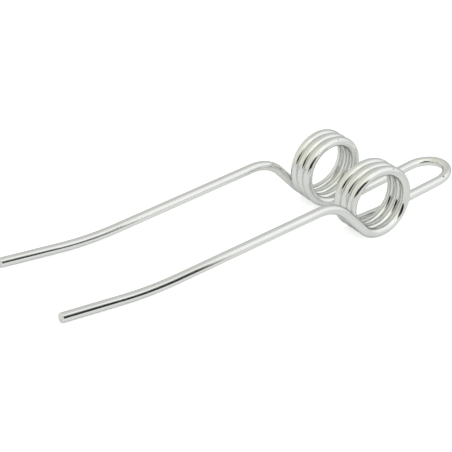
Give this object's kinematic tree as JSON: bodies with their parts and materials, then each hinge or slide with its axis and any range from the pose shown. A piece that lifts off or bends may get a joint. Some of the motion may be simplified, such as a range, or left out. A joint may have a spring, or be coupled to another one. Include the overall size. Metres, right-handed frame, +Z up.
{
  "type": "double torsion spring",
  "caption": "Double torsion spring bent from one round wire: twin coils of opposite hand on one axis, joined by a long loop, with straight legs whose tips bend gently.",
  "frame": {"origin": "on the coil axis, midway between the two coils, with the spring lying at rest on its coils and leg ends and the floor 19.25 mm below", "axes": "+Y along the coil axis, +X level and towards the loop, +Z up"},
  "size_m": [0.258, 0.0622, 0.0384],
  "materials": {
    "wire": "bright zinc plate over drawn spring wire"
  },
  "bodies": {
    "root": {"spring": "wire"}
  },
  "joints": []
}
